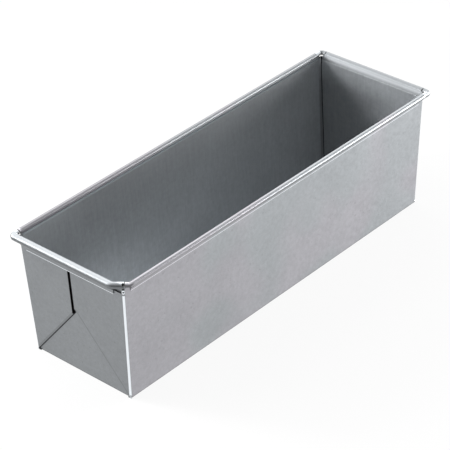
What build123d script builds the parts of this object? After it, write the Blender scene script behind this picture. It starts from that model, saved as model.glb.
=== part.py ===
from build123d import *
from math import asin, atan, atan2, cos, degrees, hypot, radians, sin, sqrt, tan
import os

# Pullman loaf pan: one blank of aluminised steel, folded up into an open box with
# pleated ends, its rim curled outward over a bent steel wire.
# Millimetres. +Z is up, the length runs along X, and the origin is the middle of the
# underside of the base. The end with the longer rim curl is at -X.

# Sheet and folds
sheet = 0.5
fold_gap = 0.1
bend_radius = 0.9
corner_radius = 2.0
corner_seam = 0.8

# Box, measured over the sheet
height = 101.6
base_length = 325.9
base_width = 94.3
end_flare = 3.1
side_flare = 4.4

# Pleats on the ends
pleat_top_drop = 9.0
slit_width = 1.9
slit_offset = 2.5
corner_top_drop = 3.0
tip_width = 3.0

# Wire and rim curl
wire_diameter = 3.2
wire_clearance = 0.05
wire_joint = 0.8
rim_corner_radius = 3.0
rim_seam = 0.8
rim_notch = 7.0
rim_lap = 2.0

# Slant of the rim across the near corner, at -X and -Y
slant_across = 10.0
slant_along = 7.8
slant_radius = 6.0
slant_seam = 8.8
slant_notch_drop = 4.3

# How the curls are led round the wire and back to the walls
curl_split_angle = -20.0
joggle_radius = 3.0
pinch_radius = 0.8

# Rim of the long sides
side_joggle_drop = 5.3
side_pinch_drop = 6.7
side_leg_drop = 8.7

# Rim of the ends, curled more loosely over the pleats
end_curl_slack = 0.65
end_joggle_drop = 5.8
end_pinch_drop = 8.3
end_leg_drop = 12.0

# One overrun for everything that is cut through or fused
overrun = 5.0

# Depths below the outer face of a pleat: outer layer, inner layer, end wall
layer_pitch = sheet + fold_gap
fold_radius = sheet + fold_gap / 2
end_wall_depth = 2 * layer_pitch
end_wall_middle = end_wall_depth + sheet / 2

# Outer half sizes, low and high. The length is over the pleats
low_half_length = base_length / 2 + end_wall_depth
low_half_width = base_width / 2
high_half_length = low_half_length + end_flare
high_half_width = low_half_width + side_flare

# Radii and centres of the curls
wire_radius = wire_diameter / 2
side_curl_radius = wire_radius + wire_clearance + sheet
end_curl_radius = side_curl_radius + end_curl_slack
end_curl_reach = high_half_length + fold_gap + end_curl_radius
side_curl_reach = high_half_width + fold_gap + side_curl_radius
end_run = side_curl_reach - rim_corner_radius
side_run = end_curl_reach - rim_corner_radius

# Slant of the rim: its sharp ends, and where the straight rims stop before its bends
slant_turn = atan2(slant_along, slant_across)
slant_length = hypot(slant_along, slant_across)
slant_start = (-end_curl_reach, slant_across - side_curl_reach)
slant_end = (slant_along - end_curl_reach, -side_curl_reach)
slant_lead_in = slant_radius * tan(slant_turn / 2)
slant_lead_out = rim_corner_radius * tan((radians(90) - slant_turn) / 2)
slant_end_run = -slant_start[1] - slant_lead_in
slant_side_run = -slant_end[0] - slant_lead_out

# The end plane lies on the outer faces of the pleats at -X, and leans out with them
end_lean = atan(end_flare / height)
end_plane = Plane(
    origin=(-low_half_length, 0, 0),
    x_dir=(0, -1, 0),
    z_dir=(-cos(end_lean), 0, -sin(end_lean)),
)

# A gusset's crease halves what the bottom, side and end leave of a full turn
side_edge_lean = degrees(atan(end_flare / hypot(height, side_flare)))
end_edge_lean = degrees(atan(side_flare / hypot(height, end_flare)))
gusset_angle = 90 - side_edge_lean - end_edge_lean
crease_angle = radians(90 + end_edge_lean - gusset_angle / 2)


def half_width_at(slope_height):
    return low_half_width + side_flare * slope_height * cos(end_lean) / height


def fold_line_at(slope_height):
    return half_width_at(slope_height) - sheet - corner_seam - fold_radius


def crease_height_at(across):
    rise = (low_half_width - across) * tan(crease_angle)
    return rise + fold_radius / cos(crease_angle)


def rim_points(high_half, flare, wall_depth, curl_radius, joggle_drop, pinch_drop, leg_drop):
    """Middle line of one rim's sheet, as places out from the pan's centre plane and up."""
    centre = (high_half + fold_gap + curl_radius, height - curl_radius)
    middle = curl_radius - sheet / 2

    def out_at(drop):
        return high_half - flare * drop / height

    foot_drop = joggle_drop + overrun
    foot = (out_at(foot_drop) - wall_depth, height - foot_drop)
    joggle = (out_at(joggle_drop) - wall_depth, height - joggle_drop)
    pinch = (out_at(pinch_drop) + fold_gap + sheet / 2, height - pinch_drop)
    leg = (out_at(leg_drop) + fold_gap + sheet / 2, height - leg_drop)
    tangents = []
    for place, side in ((joggle, 1), (pinch, -1)):
        away = (centre[0] - place[0], centre[1] - place[1])
        reach = hypot(away[0], away[1])
        run = sqrt(reach**2 - middle**2)
        heading = atan2(away[1], away[0]) + side * asin(middle / reach)
        touch = (place[0] + run * cos(heading), place[1] + run * sin(heading))
        tangents.append((touch, degrees(heading) + side * 90))
    return centre, middle, foot, joggle, pinch, leg, tangents


def upper_curl(plane, rim):
    """Section of the curl over the wire, from the wall to the outer side."""
    centre, middle, foot, joggle, pinch, leg, tangents = rim
    touch_angle = tangents[0][1]
    with BuildSketch(plane) as section:
        with BuildLine():
            CenterArc(centre, middle, curl_split_angle, touch_angle - curl_split_angle)
        trace(line_width=sheet)
    return section.sketch


def lower_curl(plane, rim):
    """Section of the curl under the wire and of the leg that lies on the wall."""
    centre, middle, foot, joggle, pinch, leg, tangents = rim
    touch, touch_angle = tangents[1]
    with BuildSketch(plane) as section:
        with BuildLine():
            CenterArc(centre, middle, touch_angle, curl_split_angle - touch_angle)
            FilletPolyline(touch, pinch, leg, radius=pinch_radius)
        trace(line_width=sheet)
    return section.sketch


end_rim = rim_points(
    high_half_length, end_flare, end_wall_middle, end_curl_radius,
    end_joggle_drop, end_pinch_drop, end_leg_drop,
)
side_rim = rim_points(
    high_half_width, side_flare, sheet / 2, side_curl_radius,
    side_joggle_drop, side_pinch_drop, side_leg_drop,
)
end_foot, end_joggle = end_rim[2:4]
end_touch = end_rim[6][0][0]
side_foot, side_joggle = side_rim[2:4]
side_touch = side_rim[6][0][0]

# Sections across the rims, seen with the pan's outside to the right
end_section = Plane(origin=(0, 0, 0), x_dir=(-1, 0, 0), z_dir=(0, 1, 0))
side_section = Plane(origin=(0, 0, 0), x_dir=(0, -1, 0), z_dir=(-1, 0, 0))



def slant_section(distance, curl_reach):
    """Section across the slant of the rim, at a distance along it from its -X end."""
    outward = Vector(-cos(slant_turn), -sin(slant_turn), 0)
    onward = Vector(sin(slant_turn), -cos(slant_turn), 0)
    place = Vector(*slant_start, 0) + onward * distance
    return Plane(origin=place - outward * curl_reach, x_dir=outward, z_dir=-onward)


# Levels where the folded layers stop below the rim
pleat_top = (height - pleat_top_drop) / cos(end_lean)
corner_level = height - corner_top_drop
corner_top = corner_level / cos(end_lean)

# Run of the long sides' tops between the corner bends, and what a curl leaves to a lap
side_wall_run = high_half_length - corner_radius - corner_seam
corner_lap = rim_lap + rim_seam


def tub_outline(level, inset):
    """Rounded outline of the tub at one level, drawn in by an inset."""
    with BuildSketch(Plane.XY.offset(level)) as outline:
        RectangleRounded(
            2 * (low_half_length + end_flare * level / height - inset),
            2 * (low_half_width + side_flare * level / height - inset),
            corner_radius - inset,
        )
    return outline.sketch


# Tub: base, long sides, corner bends and the pleats' outer layers, before they are cut
with BuildPart() as tub:
    loft([tub_outline(0, 0), tub_outline(corner_level, 0)], ruled=True)
    fillet(tub.edges().group_by(Axis.Z)[0], bend_radius)

with BuildPart() as tub_room:
    loft([tub_outline(sheet, sheet), tub_outline(height, sheet)], ruled=True)
    fillet(tub_room.edges().group_by(Axis.Z)[0], bend_radius - sheet)

# The two pleats of an end: side 1 lies towards -Y, side -1 towards +Y, the slit between
# them. Places in the end plane are kept as distance across, towards the side, and up
pleats = (
    (1, -(slit_offset - slit_width / 2)),
    (-1, slit_offset + slit_width / 2),
)
far_out = low_half_width + 2 * overrun
flat_edge = half_width_at(pleat_top) - corner_radius


def outer_outline(side, slit_edge):
    """Outer layer of a pleat from its crease up, carried on past the corner bend."""
    places = (
        (far_out, crease_height_at(far_out)),
        (far_out, corner_top),
        (flat_edge, corner_top),
        (flat_edge, pleat_top),
        (slit_edge, pleat_top),
        (slit_edge, crease_height_at(slit_edge)),
    )
    return [(side * across, up) for across, up in places]


def inner_outline(side, slit_edge):
    """Inner layer of a pleat, from its crease to its fold beside the corner bend."""
    steepness = tan(crease_angle)
    spread = side_flare * cos(end_lean) / height
    foot = (crease_height_at(0) - steepness * fold_line_at(0)) / (1 + steepness * spread)
    places = (
        (fold_line_at(foot), foot),
        (fold_line_at(pleat_top), pleat_top),
        (slit_edge, pleat_top),
        (slit_edge, crease_height_at(slit_edge)),
    )
    return [(side * across, up) for across, up in places]


def end_place(side, across, up, depth):
    """Place in the pan's frame of a place on an end, at a depth below the pleats' faces."""
    return end_plane.from_local_coords((side * across, up, -depth))


def pressed_fold(start, finish, bulge):
    """Sheet doubled on itself along the run from start to finish, its fold to one side."""
    with BuildSketch(Plane(origin=start, x_dir=bulge, z_dir=finish - start)) as section:
        Circle(fold_radius)
        Circle(fold_gap / 2, mode=Mode.SUBTRACT)
        with Locations((-fold_radius, 0)):
            Rectangle(2 * fold_radius, 2 * fold_radius, mode=Mode.SUBTRACT)
    extrude(section.sketch, amount=(finish - start).length)


# Space above the base and between the sides' outer faces, which the end's folds fill
with BuildPart() as side_planes:
    with BuildSketch():
        Rectangle(4 * low_half_length, 2 * low_half_width)
    with BuildSketch(Plane.XY.offset(height)):
        Rectangle(4 * low_half_length, 2 * high_half_width)
    loft(ruled=True)

# Creases at -X, where each pleat's outer layer turns back under itself
with BuildPart() as creases:
    for side, slit_edge in pleats:
        start = end_place(side, far_out, crease_height_at(far_out), fold_radius)
        finish = end_place(side, slit_edge, crease_height_at(slit_edge), fold_radius)
        across = end_plane.x_dir * (side * sin(crease_angle))
        up = end_plane.y_dir * cos(crease_angle)
        pressed_fold(start, finish, -(across + up))
    add(side_planes.part, mode=Mode.INTERSECT)

# End wall at -X, with the pleats' inner layers and their folds beside the corners
with BuildPart() as end_wall:
    with BuildSketch(end_section.offset(-far_out)):
        with BuildLine():
            FilletPolyline(
                (base_length / 2 - corner_radius - overrun, sheet / 2),
                (low_half_length - end_wall_middle, sheet / 2),
                end_foot,
                radius=bend_radius - sheet / 2,
            )
            FilletPolyline(end_foot, end_joggle, end_touch, radius=joggle_radius)
        trace(line_width=sheet)
    extrude(amount=2 * far_out)
    with BuildSketch(end_plane.offset(overrun)):
        Polygon(
            (-fold_line_at(-overrun), -overrun),
            (fold_line_at(-overrun), -overrun),
            (fold_line_at(height), height),
            (-fold_line_at(height), height),
            align=None,
        )
    extrude(amount=-(base_length / 2), mode=Mode.INTERSECT)
    fold_depth = layer_pitch + fold_radius
    for side, slit_edge in pleats:
        with BuildSketch(end_plane.offset(-layer_pitch)):
            Polygon(*inner_outline(side, slit_edge), align=None)
        extrude(amount=-sheet)
        start = end_place(side, fold_line_at(0), 0, fold_depth)
        finish = end_place(side, fold_line_at(pleat_top), pleat_top, fold_depth)
        pressed_fold(start, finish, end_plane.x_dir * side)
    add(side_planes.part, mode=Mode.INTERSECT)

# What opens the tub's end around the pleats: the triangle, the slit and the top
with BuildPart() as end_window:
    with BuildSketch(end_plane.offset(overrun)):
        with Locations((0, height / 2)):
            Rectangle(2 * far_out - overrun, 2 * height)
        for side, slit_edge in pleats:
            Polygon(*outer_outline(side, slit_edge), align=None, mode=Mode.SUBTRACT)
    extrude(amount=-(overrun + fold_radius))

# Half of the rim of the end at -X whose curl is carried round the corner, over the side.
# It is drawn at -Y, and lies at +Y
with BuildPart() as near_rim_half:
    extrude(upper_curl(end_section, end_rim), amount=-end_run)
    extrude(lower_curl(end_section, end_rim), amount=rim_notch - end_run)
    revolve(
        upper_curl(end_section.offset(-end_run), end_rim),
        axis=Axis((-side_run, -end_run, 0), (0, 0, 1)),
        revolution_arc=90,
    )
    extrude(near_rim_half.faces().filter_by(Axis.X).sort_by(Axis.Y)[0], amount=rim_lap)

# Rim of the end at -X, its other half led along the slant to the seam
with BuildPart() as near_rim:
    extrude(upper_curl(end_section, end_rim), amount=-slant_end_run)
    extrude(lower_curl(end_section, end_rim), amount=-slant_end_run)
    revolve(
        upper_curl(end_section.offset(-slant_end_run), end_rim),
        axis=Axis((slant_radius - end_curl_reach, -slant_end_run, 0), (0, 0, 1)),
        revolution_arc=degrees(slant_turn),
    )
    extrude(
        upper_curl(slant_section(slant_lead_in, end_curl_reach), end_rim),
        amount=slant_lead_in + rim_seam / 2 - slant_seam,
    )
    mirror(near_rim_half.part, about=Plane.XZ)

# Rim of the other end, whose curl stops short of the corners, drawn at -X as well
with BuildPart() as far_rim:
    extrude(upper_curl(end_section, end_rim), amount=end_run - corner_lap, both=True)
    extrude(lower_curl(end_section, end_rim), amount=end_run - rim_notch, both=True)

# Top of the long side at -Y, which leads into its curl
with BuildPart() as side_top:
    with BuildSketch(side_section):
        with BuildLine():
            FilletPolyline(side_foot, side_joggle, side_touch, radius=joggle_radius)
        trace(line_width=sheet)
    extrude(amount=side_wall_run, both=True)

# Rim of the long side, drawn at -Y, whose curl is carried round the corner at +X
with BuildPart() as side_rim_curl:
    extrude(lower_curl(side_section, side_rim), amount=side_run - rim_notch, both=True)
    extrude(upper_curl(side_section, side_rim), amount=-side_run)
    revolve(
        upper_curl(side_section.offset(-side_run), side_rim),
        axis=Axis((side_run, -end_run, 0), (0, 0, 1)),
        revolution_arc=90,
    )
    extrude(side_rim_curl.faces().filter_by(Axis.Y).sort_by(Axis.X)[-1], amount=rim_lap)

# The other half of the side's curl, both drawn at -Y: straight, which lies at +Y, and
# led along the slant to the seam
with BuildPart() as straight_curl:
    extrude(upper_curl(side_section, side_rim), amount=side_run - corner_lap)

with BuildPart() as slanted_curl:
    extrude(upper_curl(side_section, side_rim), amount=slant_side_run)
    revolve(
        upper_curl(slant_section(slant_length - slant_lead_out, side_curl_reach), side_rim),
        axis=Axis((-slant_side_run, -end_run, 0), (0, 0, 1)),
        revolution_arc=90 - degrees(slant_turn),
    )
    extrude(
        upper_curl(slant_section(slant_seam + rim_seam / 2, side_curl_reach), side_rim),
        amount=slant_seam + rim_seam / 2 + slant_lead_out - slant_length,
    )

# Folded pan: the tub is cut open, then everything else folded from the blank joins it
with BuildPart() as folded_pan:
    add(tub.part)
    add(tub_room.part, mode=Mode.SUBTRACT)
    add(end_window.part, mode=Mode.SUBTRACT)
    mirror(end_window.part, about=Plane.YZ, mode=Mode.SUBTRACT)
    with BuildSketch():
        with GridLocations(base_length - 2 * bend_radius + overrun, 0, 2, 1):
            Rectangle(overrun, 2 * (low_half_width - tip_width))
    extrude(amount=bend_radius, mode=Mode.SUBTRACT)
    with BuildSketch(Plane.XY.offset(side_foot[1])):
        Rectangle(2 * side_wall_run, 2 * high_half_width)
    extrude(amount=overrun, mode=Mode.SUBTRACT)
    for fold in (end_wall, creases):
        add(fold.part)
        mirror(fold.part, about=Plane.YZ)
    add(side_top.part)
    mirror(side_top.part, about=Plane.XZ)
    with BuildSketch(Plane.XY.offset(height - slant_notch_drop)):
        with Locations((-slant_side_run, -slant_end_run)):
            Rectangle(2 * slant_across, 2 * slant_across, align=(Align.MAX, Align.MAX))
    extrude(amount=overrun, mode=Mode.SUBTRACT)
    add(near_rim.part)
    mirror(far_rim.part, about=Plane.YZ)
    add(side_rim_curl.part)
    mirror(side_rim_curl.part, about=Plane.XZ)
    add(slanted_curl.part)
    mirror(straight_curl.part, about=Plane.XZ)

# Wire inside the curls, bent to a rounded rectangle, its ends meeting at +Y
with BuildPart() as rim_wire:
    wire_plane = Plane.XY.offset(height - sheet - wire_clearance - wire_radius)
    with BuildLine(wire_plane) as wire_path:
        FilletPolyline(
            (wire_joint / 2, side_curl_reach),
            (end_curl_reach, side_curl_reach),
            (end_curl_reach, -side_curl_reach),
            slant_end,
            slant_start,
            (-end_curl_reach, side_curl_reach),
            (-wire_joint / 2, side_curl_reach),
            radius=(*3 * [rim_corner_radius], slant_radius, rim_corner_radius),
        )
    with BuildSketch(Plane(origin=wire_path.line @ 0, z_dir=wire_path.line % 0)):
        Circle(wire_radius)
    sweep()

folded_pan.part.label = "folded_pan"
rim_wire.part.label = "rim_wire"
os.makedirs("parts", exist_ok=True)
export_step(folded_pan.part, "parts/folded_pan.step")
export_step(rim_wire.part, "parts/rim_wire.step")
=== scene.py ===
from math import atan, cos, degrees, hypot, radians, sin, tan

import bpy
from mathutils import Matrix, Vector


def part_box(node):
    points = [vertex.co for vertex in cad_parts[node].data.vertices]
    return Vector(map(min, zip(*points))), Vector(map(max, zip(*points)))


# Pullman loaf pan of aluminised sheet steel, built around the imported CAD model.
# Metres, +Z up, the far end at +X and the left long side at +Y as the camera sees them.
# The origin is in the middle of the underside of the base.
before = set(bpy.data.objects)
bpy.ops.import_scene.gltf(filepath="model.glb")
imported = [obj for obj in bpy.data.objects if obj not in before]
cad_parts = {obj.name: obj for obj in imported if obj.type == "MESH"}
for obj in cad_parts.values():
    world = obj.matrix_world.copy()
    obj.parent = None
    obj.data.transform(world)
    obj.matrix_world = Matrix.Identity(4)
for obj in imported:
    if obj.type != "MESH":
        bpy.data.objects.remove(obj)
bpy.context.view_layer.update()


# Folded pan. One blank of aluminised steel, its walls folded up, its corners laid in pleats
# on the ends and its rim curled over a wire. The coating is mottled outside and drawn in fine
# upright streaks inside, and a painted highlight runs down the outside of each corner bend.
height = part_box("folded_pan")[1][2]
base_length = 0.3259
base_width = 0.0943
end_flare = 0.0031
side_flare = 0.0044
sheet = 0.0005
pleat_depth = 0.0012


def add_node(tree, kind, sockets=None, **settings):
    """A shader node with its settings, its sockets set to values or linked to others."""
    made = tree.nodes.new("ShaderNode" + kind)
    for name, value in settings.items():
        setattr(made, name, value)
    for socket, value in (sockets or {}).items():
        if isinstance(value, bpy.types.NodeSocket):
            tree.links.new(value, made.inputs[socket])
        else:
            made.inputs[socket].default_value = value
    return made


def calc(tree, operation, *values):
    """One sum on numbers or on the outputs of nodes."""
    return add_node(tree, "Math", dict(enumerate(values)), operation=operation).outputs[0]


def times(tree, product, *values):
    """All the values multiplied together."""
    for value in values:
        product = calc(tree, "MULTIPLY", product, value)
    return product


def opposite(tree, mask):
    """1 where the mask is 0, and 0 where it is 1."""
    return calc(tree, "SUBTRACT", 1.0, mask)


def reach(tree, first, second):
    """How far away a place is that lies this far off in two square directions."""
    return calc(tree, "SQRT", calc(tree, "MULTIPLY_ADD", first, first, times(tree, second, second)))


def ramp(tree, value, band):
    """Rises smoothly from 0 where the value is at the band's start to 1 at its end."""
    rise = add_node(tree, "MapRange", {0: value, 1: band[0], 2: band[1]})
    rise.interpolation_type = "SMOOTHSTEP"
    return rise.outputs[0]


def blend_grey(tree, mask, below, above):
    """The value below where the mask is 0, and the value above where it is 1."""
    return add_node(tree, "Mix", {0: mask, 2: below, 3: above}, data_type="FLOAT").outputs[0]


def stretched_noise(tree, place, cells, detail, softness=0.5):
    """Noise with about this many cells a metre in each direction."""
    spread = add_node(tree, "VectorMath", {0: place, 1: cells}, operation="MULTIPLY")
    sockets = {"Vector": spread.outputs[0], "Scale": 1.0, "Detail": detail, "Roughness": softness}
    return add_node(tree, "TexNoise", sockets).outputs[0]


def vary(tree, base, noise, amount):
    """The base times one plus the noise's swing about its middle, at most the amount."""
    swing = times(tree, calc(tree, "SUBTRACT", noise, 0.5), 2 * amount)
    return times(tree, base, calc(tree, "ADD", swing, 1.0))


def new_material(name):
    """An empty metal material, its tree and its shader."""
    material = bpy.data.materials.new(name)
    material.use_nodes = True
    tree = material.node_tree
    shader = tree.nodes["Principled BSDF"]
    shader.inputs["Metallic"].default_value = 1.0
    return material, tree, shader


# Where the kinds of surface are. Each pair holds the places between which a mask rises:
# past the middle of a wall, off its outer face, or up from the underside of the base.
inner_face = (0.0001, -0.0001)
base_face = (0.0002, 0.0003)
end_face = (-0.0019, -0.0013)
end_rim = (-0.0040, -0.0020)
just_past = (0.0, 0.0001)


class SheetPoint:
    """A point of the sheet, with its distances from the walls and what it is a part of."""

    def __init__(self, tree):
        self.place = add_node(tree, "TexCoord").outputs["Object"]
        self.along, self.across, self.up = add_node(tree, "SeparateXYZ", {0: self.place}).outputs
        self.drop = calc(tree, "SUBTRACT", height, self.up)
        end_middle = calc(
            tree, "MULTIPLY_ADD", self.up, end_flare / height, (base_length - sheet) / 2
        )
        side_middle = calc(
            tree, "MULTIPLY_ADD", self.up, side_flare / height, (base_width - sheet) / 2
        )
        self.from_middle = calc(tree, "ABSOLUTE", self.across)
        self.past_end = calc(tree, "SUBTRACT", calc(tree, "ABSOLUTE", self.along), end_middle)
        self.past_side = calc(tree, "SUBTRACT", self.from_middle, side_middle)
        self.off_end = calc(tree, "SUBTRACT", self.past_end, pleat_depth + sheet / 2)
        self.off_side = calc(tree, "SUBTRACT", self.past_side, sheet / 2)
        self.off_both = calc(tree, "MAXIMUM", self.off_end, self.off_side)

        room = ramp(tree, calc(tree, "MAXIMUM", self.past_end, self.past_side), inner_face)
        self.inside = calc(tree, "MINIMUM", room, ramp(tree, self.up, base_face))
        self.on_end = ramp(tree, self.off_end, end_face)
        self.rim_end = ramp(tree, self.past_end, end_rim)
        self.far_half = ramp(tree, self.along, just_past)
        self.left_half = ramp(tree, self.across, just_past)
        self.end_outside = ramp(tree, self.past_end, just_past)


# The rim's curl: how far it reaches down inside and outside, and where it turns outward
outward_part = (0.0010, 0.0030)
inner_side_curl_drop = 0.0040
inner_end_curl_drop = 0.0028
outer_side_curl_drop = 0.0050
outer_end_curl_drop = 0.0048
inner_curl_fade = -0.0016
outer_curl_fade = -0.0003
curl_edge = 0.0003


def curl_place(tree, point):
    """How far past its wall a point is, where the rim turns outward, and the curl itself."""
    past_wall = blend_grey(tree, point.rim_end, point.past_side, point.past_end)
    outward = ramp(tree, past_wall, outward_part)
    inner_drop = blend_grey(tree, point.rim_end, inner_side_curl_drop, inner_end_curl_drop)
    outer_drop = blend_grey(tree, point.rim_end, outer_side_curl_drop, outer_end_curl_drop)
    curl_drop = blend_grey(tree, outward, inner_drop, outer_drop)
    fade = blend_grey(tree, outward, inner_curl_fade, outer_curl_fade)
    curl = ramp(tree, calc(tree, "SUBTRACT", curl_drop, point.drop), (fade, curl_edge))
    return past_wall, outward, curl


# Greys of the curl, from its crest round to its underside, by how far it faces up: painted light
# on the crest and the inner foot of the long sides, painted shade toward the underside that deepens
# toward the far end of the long sides, a painted highlight inside the ends' curls, and painted
# greys on the tops of the far end's and the left side's curls. The dies rub it along its length,
# so it is streaked along the long sides and the ends.
outer_turn = (0.85, 0.35)
inner_turn = (0.90, 0.20)
inner_foot_turn = (0.28, 0.05)
outer_crest_grey = 0.56
side_under_near_grey = 0.36
side_under_far_grey = 0.26
side_under_change = (-0.13, 0.0)
end_under_grey = 0.20
inner_side_crest_grey = 0.45
inner_side_under_grey = 0.24
inner_side_foot_grey = 0.58
inner_end_crest_grey = 0.95
inner_end_under_grey = 0.15
far_end_part = (0.160, 0.164)
far_end_crest = (0.0018, 0.0024)
far_end_curl_grey = 0.38
left_side_part = (0.0530, 0.0545)
left_side_curl_grey = 0.30
side_streak_cells = (16, 1500, 1500)
end_streak_cells = (1500, 16, 1500)
streak_detail = 2.0
streak_depth = 0.18


def curl_grey(tree, point, past_wall, outward):
    facing = add_node(tree, "NewGeometry").outputs["Normal"]
    facing_up = add_node(tree, "SeparateXYZ", {0: facing}).outputs[2]
    on_side = opposite(tree, point.rim_end)

    toward_far = ramp(tree, point.along, side_under_change)
    side_under = blend_grey(tree, toward_far, side_under_near_grey, side_under_far_grey)
    under = blend_grey(tree, point.rim_end, side_under, end_under_grey)
    # Painted light on the crest, painted shade round to the underside.
    outer = blend_grey(tree, ramp(tree, facing_up, outer_turn), outer_crest_grey, under)

    crest = blend_grey(tree, point.rim_end, inner_side_crest_grey, inner_end_crest_grey)
    under = blend_grey(tree, point.rim_end, inner_side_under_grey, inner_end_under_grey)
    inner = blend_grey(tree, ramp(tree, facing_up, inner_turn), crest, under)
    foot = times(tree, ramp(tree, facing_up, inner_foot_turn), on_side)
    inner = blend_grey(tree, foot, inner, inner_side_foot_grey)

    grey = blend_grey(tree, outward, inner, outer)
    far_top = times(
        tree, ramp(tree, point.along, far_end_part), ramp(tree, past_wall, far_end_crest)
    )
    grey = blend_grey(tree, far_top, grey, far_end_curl_grey)
    left_top = times(tree, ramp(tree, point.across, left_side_part), on_side)
    grey = blend_grey(tree, left_top, grey, left_side_curl_grey)

    side_streaks = stretched_noise(tree, point.place, side_streak_cells, streak_detail)
    end_streaks = stretched_noise(tree, point.place, end_streak_cells, streak_detail)
    streaks = blend_grey(tree, point.rim_end, side_streaks, end_streaks)
    return vary(tree, grey, streaks, streak_depth)


# The sheared edge of the leg that the curl ends in, flat on the wall below the rim, with a painted
# highlight along it
side_leg_drop = 0.0087
end_leg_drop = 0.0120
leg_face = (0.00005, 0.00015)
leg_edge_reach = (0.0005, 0.0002)


def leg_edge(tree, point):
    leg_drop = blend_grey(tree, point.rim_end, side_leg_drop, end_leg_drop)
    off_edge = calc(tree, "ABSOLUTE", calc(tree, "SUBTRACT", leg_drop, point.drop))
    on_leg = ramp(tree, point.off_both, leg_face)
    return times(tree, on_leg, ramp(tree, off_edge, leg_edge_reach))


# The corner bends: a painted highlight down their outside below the rim, and an eyelet where
# the folds meet the rim, painted as a bright ring round a dark hole
corner_radius = 0.0020
bend_part = (-0.0016, -0.0011)
bend_skin = (0.00170, 0.00178)
highlight_drop = (0.0102, 0.0108)
eyelet_drop = 0.0076
eyelet_rim = (0.0017, 0.0014)
eyelet_hole = (0.0008, 0.0005)
rim_gap_drop = (0.0058, 0.0052)
under_rim = (0.0003, 0.0001)


def corner_bends(tree, point):
    """The painted highlight on the bends, their eyelets painted as a bright ring round a dark hole,
    and painted shade in the gaps at the corners.
    """
    on_bend = calc(
        tree, "MINIMUM",
        ramp(tree, point.off_end, bend_part), ramp(tree, point.off_side, bend_part),
    )
    from_centre = reach(
        tree,
        calc(tree, "ADD", point.off_end, corner_radius),
        calc(tree, "ADD", point.off_side, corner_radius),
    )
    bend_outside = times(tree, on_bend, ramp(tree, from_centre, bend_skin))
    bend_inside = times(tree, on_bend, ramp(tree, from_centre, bend_skin[::-1]))
    # Painted highlight down the outside of the bend, starting some way below the rim.
    shine_and_polish = times(tree, bend_outside, ramp(tree, point.drop, highlight_drop))

    # The eyelet: a painted bright ring round the point where the folds meet the rim, with a painted
    # dark hole in its middle.
    aside = times(tree, calc(tree, "SUBTRACT", point.off_end, point.off_side), cos(radians(45)))
    from_eyelet = reach(tree, aside, calc(tree, "SUBTRACT", point.drop, eyelet_drop))
    eyelet = times(tree, bend_outside, ramp(tree, from_eyelet, eyelet_rim))
    # Painted shade in the eyelet's hole, under the rim at the corners, and on the inner face of the
    # bend seen through the seam.
    gap_shade = calc(
        tree, "MAXIMUM",
        ramp(tree, from_eyelet, eyelet_hole), ramp(tree, point.drop, rim_gap_drop),
    )
    gap_shade = calc(tree, "MAXIMUM", times(tree, bend_outside, gap_shade), bend_inside)
    return shine_and_polish, eyelet, times(tree, gap_shade, ramp(tree, point.off_both, under_rim))


# Painted shade along the creases of the pleats on the ends, and in the slit that the two pleats
# leave between them, painted dark a little past its edges
fold_radius = 0.00055
crease_reach = (0.0014, 0.0007)
under_pleat = (-0.0004, -0.0006)
under_pleat_shade = 0.20
left_crease_shade = 0.97
right_crease_shade = 0.55
pleat_top = (0.0090, 0.0093)
slit_middle = 0.0025
slit_half_width = 0.0014
slit_blur = (0.0001, -0.0001)
slit_depth = (0.00008, 0.00004)
slit_foot = (0.0, 0.0003)


def crease_slope():
    """Slope of the creases on the ends, which halve what a folded corner leaves."""
    side_edge_lean = degrees(atan(end_flare / hypot(height, side_flare)))
    end_edge_lean = degrees(atan(side_flare / hypot(height, end_flare)))
    gusset_angle = 90 - side_edge_lean - end_edge_lean
    return radians(90 + end_edge_lean - gusset_angle / 2)


def pleat_marks(tree, point):
    """The painted shade along the creases, and the slit painted dark."""
    slope = crease_slope()
    crease_up = calc(
        tree, "MULTIPLY_ADD", point.from_middle, -tan(slope),
        base_width / 2 * tan(slope) + fold_radius / cos(slope),
    )
    off_crease = times(tree, calc(tree, "SUBTRACT", point.up, crease_up), cos(slope))
    near_crease = ramp(tree, calc(tree, "ABSOLUTE", off_crease), crease_reach)
    under = times(tree, ramp(tree, point.off_end, under_pleat), point.end_outside)
    shade = blend_grey(tree, point.left_half, right_crease_shade, left_crease_shade)
    shade = blend_grey(tree, under, under_pleat_shade, shade)
    crease = times(tree, near_crease, shade, point.on_end)

    aside = calc(tree, "ABSOLUTE", calc(tree, "SUBTRACT", point.across, slit_middle))
    slit = times(
        tree,
        ramp(tree, calc(tree, "SUBTRACT", aside, slit_half_width), slit_blur),
        ramp(tree, point.off_end, slit_depth),
        point.end_outside,
        ramp(tree, off_crease, slit_foot),
        ramp(tree, point.drop, pleat_top),
    )
    return crease, slit


# The coating outside: cloudy, mottled and grainy, with a few darker specks, painted darker on
# the ends than on the long sides as painted shade, and with painted shade along its foot
side_grey = 0.425
end_grey = 0.28
coating_clouds = 0.12
coating_mottle = 0.20
coating_grain = 0.10
speck_cells = (420, 420, 420)
speck_part = (0.70, 0.76)
speck_depth = 0.14
foot_part = (0.0016, 0.0008)
foot_shade = 0.30


def coating_grey(tree, point, clouds, mottle, grain):
    # The ends are painted darker than the long sides, as painted shade.
    grey = blend_grey(tree, point.on_end, side_grey, end_grey)
    grey = vary(tree, grey, clouds, coating_clouds)
    grey = vary(tree, grey, mottle, coating_mottle)
    grey = vary(tree, grey, grain, coating_grain)
    # Painted shade along the foot.
    foot = times(tree, ramp(tree, point.up, foot_part), foot_shade)
    speckle = stretched_noise(tree, point.place, speck_cells, 1.0)
    specks = times(tree, ramp(tree, speckle, speck_part), speck_depth)
    return times(tree, grey, calc(tree, "SUBTRACT", opposite(tree, foot), specks))


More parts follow.
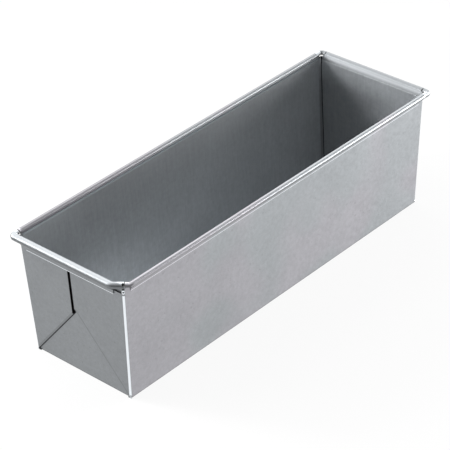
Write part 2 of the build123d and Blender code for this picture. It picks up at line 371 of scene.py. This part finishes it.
# The inside, drawn in upright streaks, with painted light low in the near part and on the base,
# and painted shade high in the near part, below the rim of the long sides and low on the far end
inside_grey = 0.42
base_grey = 0.80
base_part = (0.0016, 0.0010)
low_part = (0.065, 0.0)
painted_low_light = 0.90
painted_upper_shade = -0.20
near_part = (0.05, -0.15)
side_rim_shade = 0.24
side_dim_drop = (0.045, 0.008)
side_dim_start = (-0.15, -0.08)
side_dim_end = (0.165, 0.090)
far_end_shade = 0.38
end_dim_drop = (0.008, 0.030)
end_dim_part = (-0.045, 0.020)
inside_streaks = 0.15
inside_mottle = 0.22
inside_clouds = 0.12


def drawn_grey_and_painted_light(tree, point, clouds, mottle, streaks):
    # The base is painted lighter, as painted light.
    grey = blend_grey(tree, ramp(tree, point.up, base_part), inside_grey, base_grey)
    # Painted light low in the near part, and painted shade high in it.
    rise = calc(tree, "MULTIPLY_ADD", ramp(tree, point.up, low_part), painted_low_light, painted_upper_shade)
    lighter = times(tree, ramp(tree, point.along, near_part), rise)
    grey = times(tree, grey, calc(tree, "ADD", lighter, 1.0))
    # Painted shade below the rim of the long sides and low on the far end.
    on_side = times(
        tree, ramp(tree, point.drop, side_dim_drop), side_rim_shade,
        ramp(tree, point.along, side_dim_start), ramp(tree, point.along, side_dim_end),
    )
    on_end = times(
        tree, ramp(tree, point.drop, end_dim_drop), far_end_shade,
        ramp(tree, point.across, end_dim_part), point.far_half,
    )
    grey = times(tree, grey, opposite(tree, blend_grey(tree, point.rim_end, on_side, on_end)))
    grey = vary(tree, grey, streaks, inside_streaks)
    grey = vary(tree, grey, mottle, inside_mottle)
    return vary(tree, grey, clouds, inside_clouds)


# The tint that the greys take: cool, and warmer in drifts on the outside of the long sides
drift_cells = (16, 16, 16)
drift_part = (0.40, 0.60)
cool_tint = (0.955, 1.000, 1.040)
warm_tint = (0.995, 0.985, 1.045)


def tinted(tree, point, grey):
    drifts = stretched_noise(tree, point.place, drift_cells, 1.0)
    warm = ramp(tree, calc(tree, "SUBTRACT", drifts, point.along), drift_part)
    warm = times(tree, warm, opposite(tree, calc(tree, "MAXIMUM", point.inside, point.on_end)))
    shares = [
        times(tree, grey, blend_grey(tree, warm, cool_share, warm_share))
        for cool_share, warm_share in zip(cool_tint, warm_tint)
    ]
    return add_node(tree, "CombineColor", dict(enumerate(shares))).outputs[0]


# The whole finish. The drawn inside is dull and only half metal, and the curls are polished.
cloud_cells = (18, 18, 18)
mottle_cells = (300, 300, 300)
grain_cells = (1400, 1400, 1400)
upright_cells = (650, 650, 40)
patchiness = 0.6
# Greys of the painted highlights on the bends, eyelets and legs' edges, and of the painted shade in
# the slit and the corner gaps.
corner_highlight_grey = 0.95
leg_edge_highlight_grey = 0.95
painted_shade_grey = 0.008
wall_roughness = 0.44
inside_roughness = 0.55
roughness_mottle = 0.25
outer_curl_roughness = 0.34
inner_curl_roughness = 0.36
inside_metal = 0.5
cloud_relief = 0.15
mottle_relief = 0.02
grain_relief = 0.008
streak_relief = 0.015
relief_unit = 0.001


def pan_sheet():
    material, tree, shader = new_material("aluminised_sheet")
    point = SheetPoint(tree)
    past_wall, outward, curl = curl_place(tree, point)
    corner_highlight, eyelet, corner_gap_shade = corner_bends(tree, point)
    crease, slit = pleat_marks(tree, point)
    clouds = stretched_noise(tree, point.place, cloud_cells, 2.0)
    mottle = stretched_noise(tree, point.place, mottle_cells, 3.0, patchiness)
    grain = stretched_noise(tree, point.place, grain_cells, 1.0)
    streaks = stretched_noise(tree, point.place, upright_cells, 3.0, patchiness)

    grey = coating_grey(tree, point, clouds, mottle, grain)
    # Painted highlights on the corner bends and on the eyelets' rings.
    grey = blend_grey(tree, corner_highlight, grey, corner_highlight_grey)
    grey = blend_grey(tree, eyelet, grey, corner_highlight_grey)
    # The inside's grey, with its painted light and shade.
    drawn = drawn_grey_and_painted_light(tree, point, clouds, mottle, streaks)
    grey = blend_grey(tree, point.inside, grey, drawn)
    # The curl's grey, with its painted light and shade.
    grey = blend_grey(tree, curl, grey, curl_grey(tree, point, past_wall, outward))
    # Painted highlight along the leg's edge.
    grey = blend_grey(tree, leg_edge(tree, point), grey, leg_edge_highlight_grey)
    # Painted shade along the creases.
    grey = times(tree, grey, opposite(tree, crease))
    # Painted shade in the slit and in the corner gaps.
    grey = blend_grey(tree, calc(tree, "MAXIMUM", slit, corner_gap_shade), grey, painted_shade_grey)
    tree.links.new(tinted(tree, point, grey), shader.inputs["Base Color"])

    dull = blend_grey(tree, point.inside, wall_roughness, inside_roughness)
    dull = vary(tree, dull, mottle, roughness_mottle)
    curl_dull = blend_grey(tree, outward, inner_curl_roughness, outer_curl_roughness)
    shine_and_polish = calc(tree, "MAXIMUM", curl, calc(tree, "MAXIMUM", corner_highlight, eyelet))
    tree.links.new(blend_grey(tree, shine_and_polish, dull, curl_dull), shader.inputs["Roughness"])
    drawn_part = times(tree, point.inside, opposite(tree, curl))
    tree.links.new(blend_grey(tree, drawn_part, 1.0, inside_metal), shader.inputs["Metallic"])

    relief = calc(tree, "MULTIPLY_ADD", clouds, cloud_relief, times(tree, mottle, mottle_relief))
    relief = calc(tree, "MULTIPLY_ADD", grain, grain_relief, relief)
    drawn_relief = times(tree, point.inside, streak_relief)
    relief = calc(tree, "MULTIPLY_ADD", streaks, drawn_relief, relief)
    bump = add_node(tree, "Bump", {"Strength": 1.0, "Distance": relief_unit, "Height": relief})
    tree.links.new(bump.outputs[0], shader.inputs["Normal"])
    return material


def finish_node(name, material):
    """Puts a material on a CAD node in place of the plain one that it came with."""
    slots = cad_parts[name].data.materials
    slots.clear()
    slots.append(material)


finish_node("folded_pan", pan_sheet())


# Rim wire. Drawn steel wire, bent to the rim's shape, its ends butted together behind a
# long side, and held by the curl that is rolled around it.
# The wire's grey is set dark, as painted shade where it shows through the rim's seams.
wire_grey = 0.25
wire_roughness = 0.35
scuff_cells = (400, 400, 400)
scuff_depth = 0.25
scuff_roughness = 0.3
draw_line_cells = (900, 900, 2500)
draw_line_depth = 0.20
draw_line_relief = 0.01


def rim_wire():
    material, tree, shader = new_material("drawn_wire")
    place = add_node(tree, "TexCoord").outputs["Object"]
    scuffs = stretched_noise(tree, place, scuff_cells, 3.0, patchiness)
    draw_lines = stretched_noise(tree, place, draw_line_cells, 2.0)
    grey = vary(tree, vary(tree, wire_grey, scuffs, scuff_depth), draw_lines, draw_line_depth)
    colour = add_node(tree, "CombineColor", {0: grey, 1: grey, 2: grey})
    tree.links.new(colour.outputs[0], shader.inputs["Base Color"])
    dull = vary(tree, wire_roughness, scuffs, scuff_roughness)
    tree.links.new(dull, shader.inputs["Roughness"])
    relief = times(tree, draw_lines, draw_line_relief)
    bump = add_node(tree, "Bump", {"Strength": 1.0, "Distance": relief_unit, "Height": relief})
    tree.links.new(bump.outputs[0], shader.inputs["Normal"])
    return material


finish_node("rim_wire", rim_wire())


# Floor. A white paper table that runs past the picture on every side. The camera, metal
# and glass see it near white, and it keeps a soft part of the pan's shadow.
floor_half_size = 6.0
paper_white = 0.90
shadow_share = 0.10
paper_glow = 1.0


def floor_paper():
    material = bpy.data.materials.new("floor_paper")
    material.use_nodes = True
    tree = material.node_tree
    tree.nodes.remove(tree.nodes["Principled BSDF"])
    paper = add_node(tree, "BsdfDiffuse", {"Color": (paper_white, paper_white, paper_white, 1)})
    glow = add_node(tree, "Emission", {"Color": (1, 1, 1, 1), "Strength": paper_glow})
    path = add_node(tree, "LightPath").outputs
    seen = calc(tree, "MAXIMUM", path["Is Camera Ray"], path["Is Glossy Ray"])
    seen = calc(tree, "MAXIMUM", seen, path["Is Transmission Ray"])
    share = times(tree, seen, 1 - shadow_share)
    both = add_node(tree, "MixShader", {0: share, 1: paper.outputs[0], 2: glow.outputs[0]})
    tree.links.new(both.outputs[0], tree.nodes["Material Output"].inputs["Surface"])
    return material


floor_corners = [
    (x * floor_half_size, y * floor_half_size, 0) for x, y in ((-1, -1), (1, -1), (1, 1), (-1, 1))
]
floor_mesh = bpy.data.meshes.new("studio_floor")
floor_mesh.from_pydata(floor_corners, [], [(0, 1, 2, 3)])
floor_mesh.materials.append(floor_paper())
floor = bpy.data.objects.new("studio_floor", floor_mesh)
bpy.context.scene.collection.objects.link(floor)


# Surround. A dim room with a bright curtain from the ceiling to the floor behind the long
# left side, and two softboxes low down: one past that side, one past the far end.
room_level = 0.30
curtain_level = 1.30
curtain_azimuth = 74
curtain_edge = (0.0, 0.8)
curtain_top = (72, 56)
softboxes = (
    # azimuth, elevation, level
    (120, 14, 6.5),
    (345, 14, 6.0),
)
softbox_edge = (24, 8)


def heading(azimuth, lift):
    """The direction of an azimuth and an elevation, both in degrees."""
    flat = cos(radians(lift))
    return flat * cos(radians(azimuth)), flat * sin(radians(azimuth)), sin(radians(lift))


def radian_band(band):
    return tuple(radians(edge) for edge in band)


world = bpy.data.worlds.new("studio_surround")
bpy.context.scene.world = world
world.use_nodes = True
sky = world.node_tree
toward = add_node(sky, "TexCoord").outputs["Generated"]
rise = add_node(sky, "SeparateXYZ", {0: toward}).outputs[2]
elevation = calc(sky, "ARCSINE", rise)
flat_share = calc(sky, "SQRT", calc(sky, "MULTIPLY_ADD", rise, times(sky, rise, -1.0), 1.0))
curtain_middle = heading(curtain_azimuth, 0)
facing = add_node(sky, "VectorMath", {0: toward, 1: curtain_middle}, operation="DOT_PRODUCT")
facing_curtain = calc(sky, "DIVIDE", facing.outputs["Value"], flat_share)
curtain = times(
    sky, ramp(sky, facing_curtain, curtain_edge),
    ramp(sky, elevation, radian_band(curtain_top)),
)
light = calc(sky, "MULTIPLY_ADD", curtain, curtain_level, room_level)
for azimuth, lift, level in softboxes:
    middle = heading(azimuth, lift)
    facing = add_node(sky, "VectorMath", {0: toward, 1: middle}, operation="DOT_PRODUCT")
    off_middle = calc(sky, "ARCCOSINE", facing.outputs["Value"])
    softbox = ramp(sky, off_middle, radian_band(softbox_edge))
    light = calc(sky, "MULTIPLY_ADD", softbox, level, light)
background = sky.nodes["Background"]
background.inputs["Color"].default_value = (1, 1, 1, 1)
sky.links.new(light, background.inputs["Strength"])


# Lamps. Three small softboxes near the pan: one in front of the far end, one high behind the
# left side that lights the far end's inside, and a weak one overhead.
lamps = (
    # name, place, aim, size, watts, seen in the metal
    ("front_softbox", (0.50, -0.46, 0.12), (0.10, 0.0, 0.05), (0.30, 0.20), 2.3, True),
    ("back_softbox", (-0.35, 0.45, 0.39), (0.16, -0.03, 0.08), (0.15, 0.15), 3.2, False),
    ("overhead_softbox", (-0.12, -0.10, 0.45), (-0.10, 0.02, 0.03), (0.20, 0.20), 0.12, True),
)
for name, lamp_place, lamp_aim, lamp_size, watts, seen_in_metal in lamps:
    lamp_data = bpy.data.lights.new(name, "AREA")
    lamp_data.shape = "RECTANGLE"
    lamp_data.size, lamp_data.size_y = lamp_size
    lamp_data.energy = watts
    lamp = bpy.data.objects.new(name, lamp_data)
    lamp.location = lamp_place
    lamp.visible_glossy = seen_in_metal
    toward_pan = Vector(lamp_aim) - Vector(lamp_place)
    lamp.rotation_euler = toward_pan.to_track_quat("-Z", "Y").to_euler()
    bpy.context.scene.collection.objects.link(lamp)


# Camera. Long lens, at the photograph's angle on the pan.
picture_width = 450
focal_length_px = 2047
sensor_width = 36
camera_azimuth = radians(-46.782)
camera_height_angle = radians(33.098)
camera_roll = radians(-2.638)
camera_distance = 1.5364
aim_height = 0.0508
aim_shift = (-0.006076, -0.006706)

back = Vector((
    sin(camera_azimuth) * cos(camera_height_angle),
    -cos(camera_azimuth) * cos(camera_height_angle),
    sin(camera_height_angle),
))
level_right = Vector((cos(camera_azimuth), sin(camera_azimuth), 0))
upright = back.cross(level_right)
right = level_right * cos(camera_roll) + upright * sin(camera_roll)
top = upright * cos(camera_roll) - level_right * sin(camera_roll)
camera_place = Vector((0, 0, aim_height)) + back * camera_distance
camera_place += right * aim_shift[0] + top * aim_shift[1]
camera_turn = Matrix((right, top, back)).transposed().to_4x4()
camera_data = bpy.data.cameras.new("camera")
camera_data.sensor_width = sensor_width
camera_data.lens = focal_length_px * sensor_width / picture_width
camera = bpy.data.objects.new("camera", camera_data)
camera.matrix_world = Matrix.Translation(camera_place) @ camera_turn
bpy.context.scene.collection.objects.link(camera)
bpy.context.scene.camera = camera
bpy.context.scene.view_settings.view_transform = "Standard"
